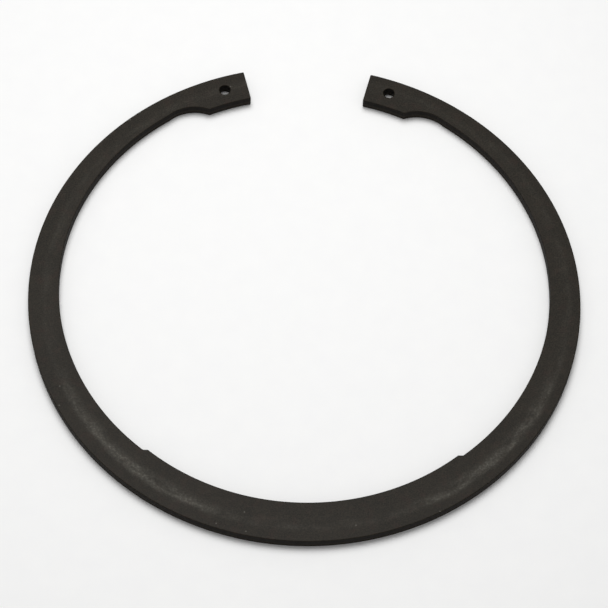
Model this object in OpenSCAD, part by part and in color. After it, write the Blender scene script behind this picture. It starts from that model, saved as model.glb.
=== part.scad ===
// Internal retaining ring (circlip) for a large housing bore, blanked from spring steel strip.
// The ring lies flat on its underside. The origin is the centre of the outer edge, on the underside.
// The gap faces +Y and the ring is the same on both sides of the YZ plane.

/* [Ring] */
// Outer diameter of the free ring, a little more than the bore it springs into
outer_d = 189.5; // [186:0.5:194]
// Thickness of the steel
thickness = 4; // [3:0.1:6]
// Width of the band at the sides, a quarter turn from the gap
band_w = 10.2; // [9:0.1:11.5]
// How far the inner arc's centre lies towards the gap, which tapers both arms
inner_shift = 3.4; // [2:0.1:4.4]

/* [Heavy stretch] */
// Width of the band along the heavy stretch, opposite the gap
heavy_w = 13.9; // [13.6:0.1:17]
// Distance from the ring's centre back to the two steps where the heavy stretch begins
heavy_from = 62.7; // [50:0.1:72]

/* [Lugs] */
// Angle of the gap between the two lug ends
gap_angle = 28.3; // [20:0.1:40]
// Angle that each lug takes up, from its end to its heel
lug_angle = 11; // [9.5:0.1:14]
// Width of each lug, from the outer edge inwards
lug_w = 12; // [10.5:0.1:15]
// Radius of the round hollow between each lug's heel and its arm
hollow_r = 13.3; // [9:0.1:18]
// How far the hollow bites into the arm, past the inner arc
hollow_bite = 0.2; // [0.1:0.05:1]

/* [Plier holes] */
// Diameter of the hole for the pliers' tip in each lug
hole_d = 4; // [3:0.1:5.5]
// Distance from the lug's end face to the middle of its hole
hole_from_end = 8.4; // [5:0.1:12]
// Distance from the outer edge in to the middle of the hole
hole_from_edge = 5.9; // [4:0.1:8]

/* [Edges] */
// Radius that tumbling leaves along every edge of the two faces
edge_r = 0.25; // [0.1:0.05:0.6]

/* [Hidden] */

$fn = 180;
outer_r = outer_d / 2;
inner_r = outer_r - band_w;
heavy_r = outer_r - heavy_w;
lug_r = outer_r - lug_w;

// The plier holes stand beside the end faces, which are radial cuts
end_a = gap_angle / 2;
hole_ring_r = outer_r - hole_from_edge;
hole_a = end_a + asin(hole_from_end / hole_ring_r);

// Angle between the sides near and far of a triangle with three known sides
function angle_between(near, far, opposite) =
    acos((pow(near, 2) + pow(far, 2) - pow(opposite, 2)) / (2 * near * far));

// Each hollow passes through its lug's heel and reaches hollow_bite past the inner arc.
// Its centre lies hollow_reach from the inner arc's centre, at hollow_a from the middle of the gap.
heel_a = end_a + lug_angle;
heel_x = lug_r * sin(heel_a);
heel_y = lug_r * cos(heel_a) - inner_shift;
heel_reach = norm([heel_x, heel_y]);
hollow_reach = inner_r + hollow_bite - hollow_r;
hollow_a = atan2(heel_x, heel_y) + angle_between(heel_reach, hollow_reach, hollow_r);

// How far cutters run past both faces
over = 2;
// How far cutters run past the outer edge
past = outer_d;
// A cutter's rounding runs this far past the face, so that it crosses the face and doesn't only touch it
edge_cross = edge_r / 50;

// Section through the steel from x = 0 out to a wall at x = reach, with both of the wall's edges rounded.
// proud is how far it stands out beyond both faces of the ring.
module wall_section(reach, proud = 0) {
    height = thickness + 2 * proud;
    translate([0, -proud])
        square([reach - edge_r, height]);
    translate([0, edge_r - proud])
        square([reach, height - 2 * edge_r]);
    for (z = [edge_r - proud, thickness + proud - edge_r])
        translate([reach - edge_r, z])
            circle(edge_r, $fn = 32);
}

// Section of a cutter that leaves such a wall at x = reach, facing back towards x = 0
module cutter_section(reach) {
    difference() {
        translate([0, -over])
            square([reach + edge_r, thickness + 2 * over]);
        translate([reach + 2 * edge_r, 0])
            mirror([1, 0])
                wall_section(2 * edge_r, edge_cross);
    }
}

// Round cutter of radius r
module round_cutter(r) {
    rotate_extrude()
        cutter_section(r);
}

// Straight cutter that leaves a wall on the XZ plane and takes away all on its -Y side
module flat_cutter() {
    rotate([90, 0, 90])
        linear_extrude(height = 2 * past, center = true)
            translate([-past, 0])
                cutter_section(past);
}

// Straight block with its wall on the XZ plane, which keeps all on its -Y side from a cutter
module flat_keeper() {
    rotate([90, 0, 90])
        linear_extrude(height = 2 * past, center = true)
            translate([-past, 0])
                wall_section(past, edge_cross);
}

// The disc that the ring is cut from
module blank() {
    rotate_extrude()
        wall_section(outer_r);
}

// Wedge of the given half angle round +Y, from the origin outwards
module wedge(half_angle) {
    translate([0, 0, -2 * over])
        linear_extrude(height = thickness + 4 * over)
            polygon([
                [0, 0],
                past * [sin(half_angle), cos(half_angle)],
                past * [-sin(half_angle), cos(half_angle)]
            ]);
}

// Inner edge of the heavy stretch. It runs on as far as the XZ plane, inside the arms' own inner arc.
module heavy_cut() {
    intersection() {
        round_cutter(heavy_r);
        translate([-past, -past, -2 * over])
            cube([2 * past, past, thickness + 4 * over]);
    }
}

// Inner arc of both arms, from the steps to the hollows
module arm_cut() {
    difference() {
        translate([0, inner_shift, 0])
            difference() {
                round_cutter(inner_r);
                wedge(hollow_a);
            }
        translate([0, -heavy_from, 0])
            flat_keeper();
    }
}

// Inner edge of both lugs
module lug_cut() {
    intersection() {
        round_cutter(lug_r);
        wedge(heel_a + lug_angle);
    }
}

// Round hollow behind the lug on one side
module hollow_cut(side) {
    translate([side * hollow_reach * sin(hollow_a), inner_shift + hollow_reach * cos(hollow_a), 0])
        round_cutter(hollow_r);
}

// The gap, between the two radial end faces
module gap_cut() {
    intersection() {
        rotate([0, 0, 90 + end_a])
            flat_cutter();
        rotate([0, 0, -90 - end_a])
            flat_cutter();
    }
}

// The disc once the heavy stretch and the arms have their inner edge
module arms() {
    difference() {
        difference() {
            blank();
            heavy_cut();
        }
        arm_cut();
    }
}

// The closed band, with the hollows and the lugs' inner edge cut too
module closed_band() {
    difference() {
        difference() {
            arms();
            lug_cut();
        }
        for (side = [-1, 1])
            hollow_cut(side);
    }
}

// The band once the gap has opened it
module open_band() {
    difference() {
        closed_band();
        gap_cut();
    }
}

module retaining_ring() {
    color([0.21, 0.2, 0.18])
        difference() {
            open_band();
            for (side = [-1, 1])
                rotate([0, 0, -side * hole_a])
                    translate([0, hole_ring_r, 0])
                        round_cutter(hole_d / 2);
        }
}

retaining_ring();
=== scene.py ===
import math

import bmesh
import bpy
from mathutils import Matrix, Vector


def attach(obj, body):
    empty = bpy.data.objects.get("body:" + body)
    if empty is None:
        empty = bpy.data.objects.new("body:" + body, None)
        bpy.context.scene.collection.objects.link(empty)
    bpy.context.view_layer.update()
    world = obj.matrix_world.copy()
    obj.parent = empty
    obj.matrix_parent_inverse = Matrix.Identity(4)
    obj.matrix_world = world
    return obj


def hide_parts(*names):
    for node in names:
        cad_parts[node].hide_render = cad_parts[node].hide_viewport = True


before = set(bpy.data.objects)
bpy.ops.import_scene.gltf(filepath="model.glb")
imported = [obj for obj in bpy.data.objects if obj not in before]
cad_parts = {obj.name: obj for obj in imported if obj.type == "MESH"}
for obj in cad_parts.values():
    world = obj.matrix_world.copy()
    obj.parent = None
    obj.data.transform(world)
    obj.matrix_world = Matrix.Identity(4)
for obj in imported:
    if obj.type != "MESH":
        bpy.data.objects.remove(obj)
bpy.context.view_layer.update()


# Camera
# A compact camera on a stand looks down at the ring from the front, turned a little to one side.
# It stands 760 mm away, so the far lugs look only a little smaller than the heavy stretch.
MM = 0.001
camera_distance = 760 * MM
camera_elevation = math.radians(59.318)
camera_azimuth = math.radians(-1.641)
camera_roll = math.radians(2.511)
camera_target = Vector((-0.194, -3.601, 0)) * MM
camera_back = Vector((
    math.sin(camera_azimuth) * math.cos(camera_elevation),
    -math.cos(camera_azimuth) * math.cos(camera_elevation),
    math.sin(camera_elevation),
))
level_right = Vector((math.cos(camera_azimuth), math.sin(camera_azimuth), 0))
level_up = camera_back.cross(level_right)
camera_right = math.cos(camera_roll) * level_right + math.sin(camera_roll) * level_up
camera_up = camera_back.cross(camera_right)

camera_data = bpy.data.cameras.new("Camera")
camera_data.sensor_width = 36
camera_data.lens = 130.74
camera = bpy.data.objects.new("Camera", camera_data)
camera.matrix_world = Matrix.Translation(camera_target + camera_distance * camera_back) @ Matrix(
    (camera_right, camera_up, camera_back)
).transposed().to_4x4()
bpy.context.scene.collection.objects.link(camera)
bpy.context.scene.camera = camera
bpy.context.scene.view_settings.view_transform = "Standard"


# Table, lamp and white walls
# The ring lies on a sheet of matt white card. A soft box hangs behind it, a little to the left, and white
# walls fill in from all round, so that the shadows are short and soft and fall towards the camera.
def srgb(hex_colour):
    """Linear RGBA of an sRGB hex colour."""
    parts = [int(hex_colour[i:i + 2], 16) / 255 for i in (1, 3, 5)]
    return (*(c / 12.92 if c <= 0.04045 else ((c + 0.055) / 1.055) ** 2.4 for c in parts), 1)


def add(tree, kind, inputs=(), output=None, **settings):
    """Add a node with its settings and links, and give the named output, or else its first one.

    Inputs come by name, or as a tuple in the node's order. Each is a value, an output or a list of outputs.
    """
    node = tree.nodes.new(kind)
    for setting, value in settings.items():
        setattr(node, setting, value)
    sockets = [socket for socket in node.inputs if socket.enabled]
    for key, value in inputs.items() if isinstance(inputs, dict) else enumerate(inputs):
        socket = sockets[key] if isinstance(key, int) else next(s for s in sockets if s.name == key)
        for item in value if isinstance(value, list) else [value]:
            if isinstance(item, bpy.types.NodeSocket):
                tree.links.new(item, socket)
            else:
                socket.default_value = item
    return next((s for s in node.outputs if s.enabled and output in (None, s.name)), None)


def new_material(name):
    """An empty material, and its node tree."""
    material = bpy.data.materials.new(name)
    material.use_nodes = True
    material.node_tree.nodes.clear()
    return material, material.node_tree


card_width = 3.0
card_mesh = bpy.data.meshes.new("white_card")
card_mesh.from_pydata(
    [(x * card_width / 2, y * card_width / 2, 0) for x, y in ((-1, -1), (1, -1), (1, 1), (-1, 1))],
    [], [(0, 1, 2, 3)])
card = bpy.data.objects.new("white_card", card_mesh)
bpy.context.scene.collection.objects.link(card)

# Uncoated card: matt, with a faint cloudiness of the pulp about 8 mm across
card_material, tree = new_material("uncoated_white_card")
pulp = add(tree, "ShaderNodeTexNoise", {
    "Vector": add(tree, "ShaderNodeTexCoord", output="Object"), "Scale": 1 / (8 * MM), "Detail": 3.0})
card_colour = add(tree, "ShaderNodeMix", {
    "Factor": pulp, "A": srgb("#F3F3F3"), "B": srgb("#F7F7F6")}, data_type="RGBA")
card_shader = add(tree, "ShaderNodeBsdfPrincipled", {
    "Base Color": card_colour, "Roughness": 0.9, "Specular IOR Level": 0.2})
add(tree, "ShaderNodeOutputMaterial", {"Surface": card_shader})
card_mesh.materials.append(card_material)

walls = bpy.data.worlds.new("white_walls")
walls.use_nodes = True
walls.node_tree.nodes.clear()
wall_light = add(walls.node_tree, "ShaderNodeBackground", {"Color": srgb("#F9F9F9"), "Strength": 0.385})
add(walls.node_tree, "ShaderNodeOutputWorld", {"Surface": wall_light})
bpy.context.scene.world = walls

# The soft box is 0.9 m across. Its grid narrows the light, which fades a little towards the corners.
lamp_data = bpy.data.lights.new("Soft box", "AREA")
lamp_data.shape = "DISK"
lamp_data.size = 0.9
lamp_data.spread = math.radians(60)
lamp_data.energy = 1.73
lamp = bpy.data.objects.new("Soft box", lamp_data)
lamp.location = (-0.075, 0.405, 1.0)
lamp_aim = Vector((-0.03, 0.055, 0))
lamp.rotation_euler = (lamp_aim - lamp.location).to_track_quat("-Z", "Y").to_euler()
bpy.context.scene.collection.objects.link(lamp)


# Retaining ring
# One flat open ring of spring steel, blanked from strip with a punch, hardened, tumbled and phosphated.
# The punch shears the upper half of the wall smooth and tears the rest away a little rougher.
# Nothing is fixed to it: it springs into a bore's groove by itself.
outer_r = 94.75
thickness = 4.0
edge_r = 0.25
arm_r, arm_shift = 84.55, 3.4
heavy_r, heavy_from = 80.85, 62.7
lug_r, end_angle, lug_angle = 82.75, 14.15, 11.0
hollow_r, hollow_bite = 13.3, 0.2
hole_r, hole_ring_r, hole_from_end = 2.0, 88.85, 8.4


def on_circle(radius, angle, centre_y=0.0):
    """The point at an angle in degrees from +Y towards +X, round a centre on the Y axis."""
    turn = math.radians(angle)
    return Vector((radius * math.sin(turn), centre_y + radius * math.cos(turn), 0))


def bearing(point, centre):
    """The angle in degrees from +Y towards +X at which a point lies from a centre."""
    return math.degrees(math.atan2(point.x - centre.x, point.y - centre.y))


def angle_between(near, far, opposite):
    """The angle in degrees between the sides near and far of a triangle with three known sides."""
    return math.degrees(math.acos((near ** 2 + far ** 2 - opposite ** 2) / (2 * near * far)))


# Each hollow passes through its lug's heel and reaches a little past the arms' arc
centre = Vector((0, 0, 0))
arm_centre = Vector((0, arm_shift, 0))
heel = on_circle(lug_r, end_angle + lug_angle)
hollow_reach = arm_r + hollow_bite - hollow_r
hollow_angle = bearing(heel, arm_centre) + angle_between((heel - arm_centre).length, hollow_reach, hollow_r)
hollow_centre = on_circle(hollow_reach, hollow_angle, arm_shift)
arm_start = hollow_angle + angle_between(arm_r, hollow_reach, hollow_r)
hollow_end = on_circle(arm_r, arm_start, arm_shift)

# The right half of the outline, from the middle of the heavy stretch out, round the lug and back.
# Each arc is its centre, its radius and the bearings where it starts and ends.
step_on_arm = 90 + math.degrees(math.asin((heavy_from + arm_shift) / arm_r))
step_on_heavy = 90 + math.degrees(math.asin(heavy_from / heavy_r))
half_outline = {
    "Outer edge": (centre, outer_r, 180, end_angle),
    "Lug edge": (centre, lug_r, end_angle, end_angle + lug_angle),
    "Hollow": (hollow_centre, hollow_r, bearing(heel, hollow_centre), bearing(hollow_end, hollow_centre)),
    "Arm edge": (arm_centre, arm_r, arm_start, step_on_arm),
    "Heavy edge": (centre, heavy_r, step_on_heavy, 180),
}
hole_centre = on_circle(hole_ring_r, end_angle + math.degrees(math.asin(hole_from_end / hole_ring_r)))

# Phosphated spring steel: zinc phosphate crystals soaked in oil, which look brown-black and satin.
# Places on it are in millimetres, and also laid out straight: along the band, across it and up its wall.
# A turn is the angle from the middle of the heavy stretch towards +X.
steel, tree = new_material("phosphated_spring_steel")
in_mm = add(tree, "ShaderNodeVectorMath", {
    "Vector": add(tree, "ShaderNodeTexCoord", output="Object"), "Scale": 1 / MM}, operation="SCALE")
x, y, height = add(tree, "ShaderNodeSeparateXYZ", (in_mm,)).node.outputs
frontwards = add(tree, "ShaderNodeMath", (y, -1.0), operation="MULTIPLY")
turn = add(tree, "ShaderNodeMath", (x, frontwards), operation="ARCTAN2")
along = add(tree, "ShaderNodeMath", (turn, hole_ring_r), operation="MULTIPLY")
across = add(tree, "ShaderNodeVectorMath", (add(tree, "ShaderNodeCombineXYZ", (x, y)),), operation="LENGTH")
laid_out = add(tree, "ShaderNodeCombineXYZ", (along, across, height))

# A face's normal stands upright and a wall's lies level, and the rounded edges are neither
normal = add(tree, "ShaderNodeNewGeometry", output="Normal")
upright = add(tree, "ShaderNodeMath", (
    add(tree, "ShaderNodeSeparateXYZ", (normal,), output="Z"),), operation="ABSOLUTE")
on_face = add(tree, "ShaderNodeMapRange", (upright, 0.9, 0.99, 0.0, 1.0), interpolation_type="SMOOTHSTEP")
on_wall = add(tree, "ShaderNodeMapRange", (upright, 0.1, 0.35, 1.0, 0.0), interpolation_type="SMOOTHSTEP")


def patches(places, width, begin, full):
    """Soft patches, so many mm wide each way: none where the noise is under begin, and whole over full."""
    stretched = add(tree, "ShaderNodeVectorMath", (places, width), operation="DIVIDE")
    noise = add(tree, "ShaderNodeTexNoise", {
        "Vector": stretched, "Scale": 1.0, "Detail": 3.0, "Roughness": 0.6})
    return add(tree, "ShaderNodeMapRange", (noise, begin, full, 0.0, 1.0), interpolation_type="SMOOTHSTEP")


# Clouds left by the phosphate bath, redder and paler blotches, and the crystals themselves. These are drawn
# 0.5 mm across, coarser than they are, so that they show as a fine grain. Rolling left faint streaks.
clouds = patches(in_mm, (9, 9, 9), 0.38, 0.62)
red_blotches = patches(in_mm, (4, 4, 4), 0.5, 0.7)
pale_blotches = patches(in_mm, (1.6, 1.6, 1.6), 0.45, 0.75)
crystals = patches(in_mm, (0.5, 0.5, 0.5), 0.3, 0.75)
streaks = patches(laid_out, (14, 0.5, 4), 0.5, 0.75)

# A ring a little off centre is painted lighter and greyer into the coat: partly wear, rubbed by rings stacked
# on one another, and partly painted sheen, the soft box's broad highlight along the band. It fades out over
# 1.2 mm outwards and 2.3 mm inwards, both in the shape of a bell, is smoother, and comes and goes in patches.
# Its own middle is 3 degrees round from the ring's. It is faint there, plainest 34 to 48 degrees either side
# and nearly gone after 75, and its left side is the plainer one.
rub_sheen_r, rub_sheen_shift, fade_outwards, fade_inwards = 89.8, 0.8, 1.2, 2.3
rub_sheen_middle, scuffed_share = math.radians(3), 0.4
from_rub_sheen_centre = add(tree, "ShaderNodeVectorMath", (
    add(tree, "ShaderNodeCombineXYZ", (x, y)), (rub_sheen_shift, 0, 0)), operation="DISTANCE")
off_ring = add(tree, "ShaderNodeMath", (from_rub_sheen_centre, rub_sheen_r), operation="SUBTRACT")
fade = add(tree, "ShaderNodeMapRange", (off_ring, -2.0, 1.0, fade_inwards, fade_outwards))
off_ring_share = add(tree, "ShaderNodeMath", (off_ring, fade), operation="DIVIDE")
squared = add(tree, "ShaderNodeMath", (off_ring_share, 2.0), operation="POWER")
ring_shape = add(tree, "ShaderNodeMath", (math.exp(-1), squared), operation="POWER")
rub_sheen_turn = add(tree, "ShaderNodeMath", (
    add(tree, "ShaderNodeMath", (turn, rub_sheen_middle), operation="SUBTRACT"),), operation="ABSOLUTE")
begins = add(tree, "ShaderNodeMapRange", (
    rub_sheen_turn, math.radians(16), math.radians(34), 0.13, 0.6), interpolation_type="SMOOTHSTEP")
ends = add(tree, "ShaderNodeMapRange", (
    rub_sheen_turn, math.radians(48), math.radians(75), 1.0, 0.15), interpolation_type="SMOOTHSTEP")
# Painted highlight: the band is painted lighter on its left side, towards the soft box
sheen_plainer_left = add(tree, "ShaderNodeMapRange", (turn, math.radians(-25), math.radians(30), 1.0, 0.8))
rub_sheen_patches = patches(laid_out, (7, 3, 4), 0.22, 0.78)
scuffs = patches(in_mm, (0.8, 0.8, 0.8), 0.4, 0.75)
grazed = add(tree, "ShaderNodeMath", (scuffs, scuffed_share, 1 - scuffed_share), operation="MULTIPLY_ADD")
# The band's share: rubbed wear and painted sheen together
rub_and_sheen = on_face
for share in (ring_shape, begins, ends, sheen_plainer_left, rub_sheen_patches, grazed):
    rub_and_sheen = add(tree, "ShaderNodeMath", (rub_and_sheen, share), operation="MULTIPLY")

# A few faint nicks in the face, where the coat is thin: half a millimetre across, each in the middle of a
# cell of a 9 mm pattern, in one cell of eight
nick_spacing, nick_core, nick_rim = 9, 0.09, 0.36
cells = add(tree, "ShaderNodeTexVoronoi", {
    "Vector": in_mm, "Scale": 1 / nick_spacing}, voronoi_dimensions="2D")
nicks = add(tree, "ShaderNodeMapRange", (
    cells, nick_core / nick_spacing, nick_rim / nick_spacing, 1.0, 0.0), interpolation_type="SMOOTHSTEP")
chosen = add(tree, "ShaderNodeMath", (add(tree, "ShaderNodeSeparateColor", (
    cells.node.outputs["Color"],)), 0.88), operation="GREATER_THAN")

# Up the wall, the sheared half is dense and dark with upright drag lines, and the torn half is rough
torn_below, sheared_above = 1.6, 2.3
drag_lines = patches(laid_out, (0.35, 0.35, 9), 0.35, 0.7)
torn = add(tree, "ShaderNodeMapRange", (
    height, torn_below, sheared_above, 1.0, 0.0), interpolation_type="SMOOTHSTEP")
torn_grain = patches(in_mm, (0.3, 0.3, 0.3), 0.3, 0.7)

# Each layer changes the colour below it to its own, as far as the product of its shares
coat_layers = (
    ("#19150F", clouds),
    ("#271914", red_blotches, 0.5),
    ("#29241C", pale_blotches, 0.5),
    ("#3D382F", crystals, 0.46),
    ("#2E2922", streaks, on_face, 0.25),
    # Painted sheen and rubbed wear: the band is painted lighter and greyer, with paler scuffs in it
    ("#6E6B62", rub_and_sheen),
    ("#A8A59E", rub_and_sheen, scuffs, 0.26),
    ("#66645D", nicks, chosen, on_face, 0.6),
    ("#161412", on_wall),
    ("#211D1A", on_wall, drag_lines),
    ("#221F1B", on_wall, torn),
    ("#302C27", on_wall, torn, torn_grain),
)
colour = srgb("#13100A")
for layer_colour, share, *more_shares in coat_layers:
    for other_share in more_shares:
        share = add(tree, "ShaderNodeMath", (share, other_share), operation="MULTIPLY")
    colour = add(tree, "ShaderNodeMix", {
        "Factor": share, "A": colour, "B": srgb(layer_colour)}, data_type="RGBA")

# The crystals scatter most of the light, so that little gloss is left. It is satin on the faces, a little
# tighter on the rubbed ring that also carries the painted sheen, and much wider on the rough wall.
face_roughness, wall_roughness, from_crystals, from_rubbing = 0.34, 0.58, 0.08, -0.08
roughness = add(tree, "ShaderNodeMapRange", (on_wall, 0.0, 1.0, face_roughness, wall_roughness))
roughness = add(tree, "ShaderNodeMath", (crystals, from_crystals, roughness), operation="MULTIPLY_ADD")
roughness = add(tree, "ShaderNodeMath", (rub_and_sheen, from_rubbing, roughness), operation="MULTIPLY_ADD")
relief = add(tree, "ShaderNodeMix", {"Factor": on_wall, "A": crystals, "B": torn_grain})
bump = add(tree, "ShaderNodeBump", {"Height": relief, "Strength": 0.5, "Distance": 0.02 * MM})
steel_shader = add(tree, "ShaderNodeBsdfPrincipled", {
    "Base Color": colour, "Roughness": roughness, "Normal": bump, "Specular IOR Level": 0.06})
add(tree, "ShaderNodeOutputMaterial", {"Surface": steel_shader})

# The ring's shape is worked out by nodes, from these inputs
ring_inputs = {
    "Thickness": thickness * MM,
    "Edge radius": edge_r * MM,
    "Corner radius": 0.3 * MM,
    "Point spacing": 0.6 * MM,
    "Hole centre": hole_centre * MM,
    "Hole radius": hole_r * MM,
    "Tear depth": 0.05 * MM,
    "Tear grain": 0.7 * MM,
    "Seed": 4.0,
}
for name, (arc_centre, radius, start, end) in half_outline.items():
    ring_inputs[name + " centre"] = arc_centre * MM
    ring_inputs[name + " radius"] = radius * MM
    ring_inputs[name + " start"] = math.radians(90 - start)
    ring_inputs[name + " sweep"] = math.radians(start - end)

tree = bpy.data.node_groups.new("Blanked ring", "GeometryNodeTree")
tree.is_modifier = True
for name, value in ring_inputs.items():
    kind = "NodeSocketVector" if isinstance(value, Vector) else "NodeSocketFloat"
    tree.interface.new_socket(name=name, in_out="INPUT", socket_type=kind)
tree.interface.new_socket(name="Geometry", in_out="OUTPUT", socket_type="NodeSocketGeometry")
given = {socket.name: socket for socket in add(tree, "NodeGroupInput").node.outputs}

# Points along each arc in the order of travel, which the place attribute keeps: the arc's number and the
# share of the arc that lies behind the point. A whole arc counts as a little less than one, so that its
# end comes before the start of the next.
whole_arc = 0.999
position = add(tree, "GeometryNodeInputPosition")
share_of_arc = add(tree, "GeometryNodeSplineParameter", output="Factor")
arcs = []
for number, name in enumerate(half_outline):
    sweep = add(tree, "ShaderNodeMath", (given[name + " sweep"],), operation="ABSOLUTE")
    length = add(tree, "ShaderNodeMath", (given[name + " radius"], sweep), operation="MULTIPLY")
    steps = add(tree, "ShaderNodeMath", (length, given["Point spacing"]), operation="DIVIDE")
    arc = add(tree, "GeometryNodeCurveArc", {
        "Resolution": add(tree, "ShaderNodeMath", (steps, 2.0), operation="ADD"),
        "Radius": given[name + " radius"],
        "Start Angle": given[name + " start"],
        "Sweep Angle": given[name + " sweep"],
    }, mode="RADIUS")
    place = add(tree, "ShaderNodeMath", (share_of_arc, whole_arc, float(number)), operation="MULTIPLY_ADD")
    placed_arc = add(tree, "GeometryNodeStoreNamedAttribute", {
        "Geometry": arc, "Name": "place", "Value": place}, data_type="FLOAT", domain="POINT")
    arcs.append(add(tree, "GeometryNodeTransform", {
        "Geometry": placed_arc, "Translation": given[name + " centre"]}))
right_points = add(tree, "GeometryNodeCurveToPoints", {
    "Curve": add(tree, "GeometryNodeJoinGeometry", {"Geometry": arcs})}, mode="EVALUATED")

# The left half is the right half mirrored, is travelled the other way, and leaves out the middle points.
# Points less than this apart are the same point.
same_place = 0.01 * MM
place = add(tree, "GeometryNodeInputNamedAttribute", {"Name": "place"}, data_type="FLOAT")
place_back = add(tree, "ShaderNodeMath", (2.0 * len(half_outline), place), operation="SUBTRACT")
mirrored = add(tree, "GeometryNodeStoreNamedAttribute", {
    "Geometry": add(tree, "GeometryNodeTransform", {"Geometry": right_points, "Scale": (-1, 1, 1)}),
    "Name": "place", "Value": place_back}, data_type="FLOAT", domain="POINT")
sideways = add(tree, "ShaderNodeSeparateXYZ", (position,))
in_middle = add(tree, "ShaderNodeMath", (sideways, -same_place), operation="GREATER_THAN")
left_points = add(tree, "GeometryNodeDeleteGeometry", {
    "Geometry": mirrored, "Selection": in_middle}, domain="POINT")
points = add(tree, "GeometryNodeMergeByDistance", {
    "Geometry": add(tree, "GeometryNodeJoinGeometry", {"Geometry": [right_points, left_points]}),
    "Distance": same_place})
path = add(tree, "GeometryNodePointsToCurves", {"Points": points, "Weight": place})
closed_path = add(tree, "GeometryNodeSetSplineCyclic", {"Geometry": path, "Cyclic": True})


def along_path(offset):
    """The position of the point that lies so many places further along the same path."""
    other = add(tree, "GeometryNodeOffsetPointInCurve", {
        "Point Index": add(tree, "GeometryNodeInputIndex"), "Offset": offset}, output="Point Index")
    return add(tree, "GeometryNodeFieldAtIndex", {"Index": other, "Value": position},
               data_type="FLOAT_VECTOR", domain="POINT")


# The tumbler rounds each corner of the outline, which is where the path turns by more than 12 degrees.
# The rounding is wider than the edges' own, so that an edge doesn't fold over itself inside a corner.
corner_turn, corner_steps = math.radians(12), 4
step_in = add(tree, "ShaderNodeVectorMath", (position, along_path(-1)), operation="SUBTRACT")
step_out = add(tree, "ShaderNodeVectorMath", (along_path(1), position), operation="SUBTRACT")
straightness = add(tree, "ShaderNodeVectorMath", (
    add(tree, "ShaderNodeVectorMath", (step_in,), operation="NORMALIZE"),
    add(tree, "ShaderNodeVectorMath", (step_out,), operation="NORMALIZE")), operation="DOT_PRODUCT")
is_corner = add(tree, "ShaderNodeMath", (straightness, math.cos(corner_turn)), operation="LESS_THAN")
corner_radius = add(tree, "ShaderNodeMath", (is_corner, given["Corner radius"]), operation="MULTIPLY")
rounded_path = add(tree, "GeometryNodeFilletCurve", {
    "Curve": closed_path, "Count": corner_steps, "Radius": corner_radius}, mode="POLY")
to_next = add(tree, "ShaderNodeVectorMath", (position, along_path(1)), operation="DISTANCE")
even_path = add(tree, "GeometryNodeSubdivideCurve", {
    "Curve": rounded_path,
    "Cuts": add(tree, "ShaderNodeMath", (to_next, given["Point spacing"]), operation="DIVIDE")})

# The plier holes run the other way round, so that the steel lies on the left of every path
hole_points = 40
hole = add(tree, "GeometryNodeReverseCurve", {"Curve": add(tree, "GeometryNodeCurvePrimitiveCircle", {
    "Resolution": hole_points, "Radius": given["Hole radius"]}, mode="RADIUS")})
other_side = add(tree, "ShaderNodeVectorMath", (given["Hole centre"], (-1, 1, 1)), operation="MULTIPLY")
holes = [add(tree, "GeometryNodeTransform", {"Geometry": hole, "Translation": middle})
         for middle in (given["Hole centre"], other_side)]
leftwards = add(tree, "ShaderNodeVectorMath", (
    (0, 0, 1), add(tree, "GeometryNodeInputTangent")), operation="CROSS_PRODUCT")
outlines = add(tree, "GeometryNodeStoreNamedAttribute", {
    "Geometry": add(tree, "GeometryNodeJoinGeometry", {"Geometry": [even_path, *holes]}),
    "Name": "into steel",
    "Value": add(tree, "ShaderNodeVectorMath", (leftwards,), operation="NORMALIZE"),
}, data_type="FLOAT_VECTOR", domain="POINT")
into_steel = add(tree, "GeometryNodeInputNamedAttribute", {"Name": "into steel"}, data_type="FLOAT_VECTOR")

# The wall's section goes from the upper face over its rounded edge, down and under. It starts and ends on
# a narrow flat lip. Each row is its depth as shares of the thickness and of the edge radius, and its inset
# in edge radii.
lip, edge_steps, wall_steps = 1.04, 6, 14
quarter = [math.radians(90 * step / edge_steps) for step in range(edge_steps + 1)]
wall_rows = [(0, 0, lip)]
wall_rows += [(0, 1 - math.cos(angle), 1 - math.sin(angle)) for angle in quarter]
wall_rows += [(step / wall_steps, 1 - 2 * step / wall_steps, 0) for step in range(1, wall_steps)]
wall_rows += [(1, math.cos(angle) - 1, 1 - math.sin(angle)) for angle in reversed(quarter)]
wall_rows += [(1, 0, lip)]


def row_place(row):
    """How far a row of the wall's section lies from the outline on the underside."""
    thickness_share, radius_share, inset = (float(part) for part in row)
    down = add(tree, "ShaderNodeMath", (given["Edge radius"], radius_share), operation="MULTIPLY")
    depth = add(tree, "ShaderNodeMath", (given["Thickness"], thickness_share, down), operation="MULTIPLY_ADD")
    row_height = add(tree, "ShaderNodeMath", (given["Thickness"], depth), operation="SUBTRACT")
    inwards = add(tree, "ShaderNodeVectorMath", {
        "Vector": into_steel,
        "Scale": add(tree, "ShaderNodeMath", (given["Edge radius"], inset), operation="MULTIPLY"),
    }, operation="SCALE")
    return add(tree, "ShaderNodeVectorMath", (
        inwards, add(tree, "ShaderNodeCombineXYZ", {"Z": row_height})), operation="ADD")


top_outlines = add(tree, "GeometryNodeSetPosition", {"Geometry": outlines, "Offset": row_place(wall_rows[0])})
bottom_outlines = add(tree, "GeometryNodeSetPosition", {
    "Geometry": outlines, "Offset": row_place(wall_rows[-1])})
wall = add(tree, "GeometryNodeCurveToMesh", {"Curve": top_outlines})
newest_edges = True
for above, below in zip(wall_rows, wall_rows[1:]):
    drop = add(tree, "ShaderNodeVectorMath", (row_place(below), row_place(above)), operation="SUBTRACT")
    wall = add(tree, "GeometryNodeExtrudeMesh", {
        "Mesh": wall, "Selection": newest_edges, "Offset": drop, "Offset Scale": 1.0}, mode="EDGES")
    newest_edges = wall.node.outputs["Top"]
smooth_wall = add(tree, "GeometryNodeSetShadeSmooth", {"Geometry": wall, "Shade Smooth": True}, domain="FACE")

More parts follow.
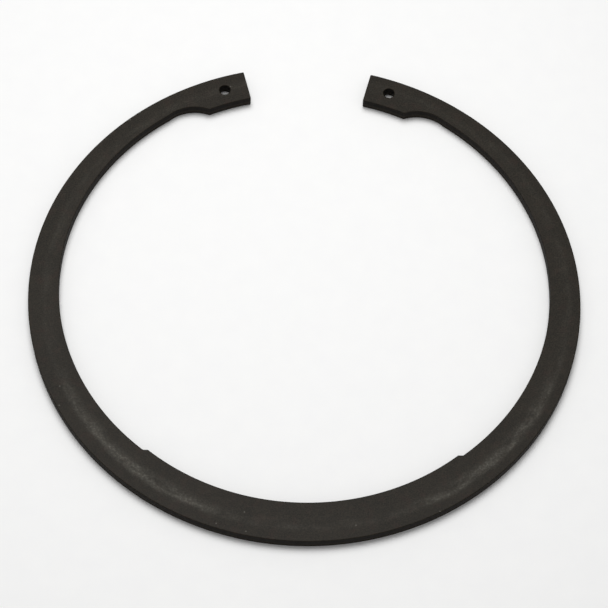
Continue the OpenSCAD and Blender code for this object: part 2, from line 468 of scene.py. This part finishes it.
# Both faces are filled between the outlines. A filled curve comes out at zero height, so it is lifted.
# The faces and the wall are then welded where their points meet.
weld_distance = 0.003 * MM
faces = []
for edge, face_height in ((top_outlines, given["Thickness"]), (bottom_outlines, 0.0)):
    flat_face = add(tree, "GeometryNodeSetShadeSmooth", {
        "Geometry": add(tree, "GeometryNodeFillCurve", {"Curve": edge}, mode="TRIANGLES"),
        "Shade Smooth": False}, domain="FACE")
    faces.append(add(tree, "GeometryNodeTransform", {
        "Geometry": flat_face, "Translation": add(tree, "ShaderNodeCombineXYZ", {"Z": face_height})}))
shell = add(tree, "GeometryNodeMergeByDistance", {
    "Geometry": add(tree, "GeometryNodeJoinGeometry", {"Geometry": [smooth_wall, *faces]}),
    "Distance": weld_distance})

# Below a wavy line half way down, the steel tore off instead of being sheared, and stands back a little.
# The line's height is a share of the thickness. The tear is from 0.3 to 1.7 times as deep as given, with
# its grain.
tear_height, tear_waviness, wave_length, tear_softness = 0.52, 0.9 * MM, 5 * MM, 0.35 * MM
least_depth, grain_depth = 0.3, 1.4
wave = add(tree, "ShaderNodeTexNoise", {
    "Vector": add(tree, "ShaderNodeVectorMath", (position, (1, 1, 0)), operation="MULTIPLY"),
    "W": given["Seed"], "Scale": 1 / wave_length, "Detail": 2.0}, noise_dimensions="4D")
lowest = add(tree, "ShaderNodeMath", (
    given["Thickness"], tear_height, -tear_waviness / 2), operation="MULTIPLY_ADD")
tear_line = add(tree, "ShaderNodeMath", (wave, tear_waviness, lowest), operation="MULTIPLY_ADD")
below_line = add(tree, "ShaderNodeMath", (
    tear_line, add(tree, "ShaderNodeSeparateXYZ", (position,), output="Z")), operation="SUBTRACT")
torn_share = add(tree, "ShaderNodeMapRange", (
    below_line, 0.0, tear_softness, 0.0, given["Tear depth"]), interpolation_type="SMOOTHSTEP")
grain = add(tree, "ShaderNodeTexNoise", {
    "Vector": add(tree, "ShaderNodeVectorMath", {
        "Vector": position,
        "Scale": add(tree, "ShaderNodeMath", (1.0, given["Tear grain"]), operation="DIVIDE"),
    }, operation="SCALE"), "W": given["Seed"], "Scale": 1.0, "Detail": 2.0}, noise_dimensions="4D")
uneven = add(tree, "ShaderNodeMath", (grain, grain_depth, least_depth), operation="MULTIPLY_ADD")
set_back = add(tree, "ShaderNodeMath", (torn_share, uneven), operation="MULTIPLY")
torn_wall = add(tree, "GeometryNodeSetPosition", {
    "Geometry": shell,
    "Offset": add(tree, "ShaderNodeVectorMath", {
        "Vector": add(tree, "ShaderNodeVectorMath", (into_steel,), operation="NORMALIZE"),
        "Scale": set_back}, operation="SCALE")})
whole_ring = add(tree, "GeometryNodeSetMaterial", {
    "Geometry": add(tree, "GeometryNodeRealizeInstances", {"Geometry": torn_wall}), "Material": steel})
add(tree, "NodeGroupOutput", {"Geometry": whole_ring})

carrier = bpy.data.objects.new("ring_carrier", bpy.data.meshes.new("ring_carrier"))
bpy.context.scene.collection.objects.link(carrier)
modifier = carrier.modifiers.new("Blanked ring", "NODES")
modifier.node_group = tree
for item in tree.interface.items_tree:
    if item.in_out == "INPUT":
        modifier[item.identifier] = ring_inputs[item.name]
depsgraph = bpy.context.evaluated_depsgraph_get()
ring_mesh = bpy.data.meshes.new_from_object(
    carrier.evaluated_get(depsgraph), preserve_all_data_layers=True, depsgraph=depsgraph)
carrier.modifiers.remove(modifier)
bpy.data.objects.remove(carrier)

# All faces are turned to look outwards
ring_faces = bmesh.new()
ring_faces.from_mesh(ring_mesh)
bmesh.ops.recalc_face_normals(ring_faces, faces=ring_faces.faces)
ring_faces.to_mesh(ring_mesh)
ring_faces.free()
ring = bpy.data.objects.new("retaining_ring_blank", ring_mesh)
bpy.context.scene.collection.objects.link(ring)
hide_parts("retaining_ring")
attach(ring, "root")
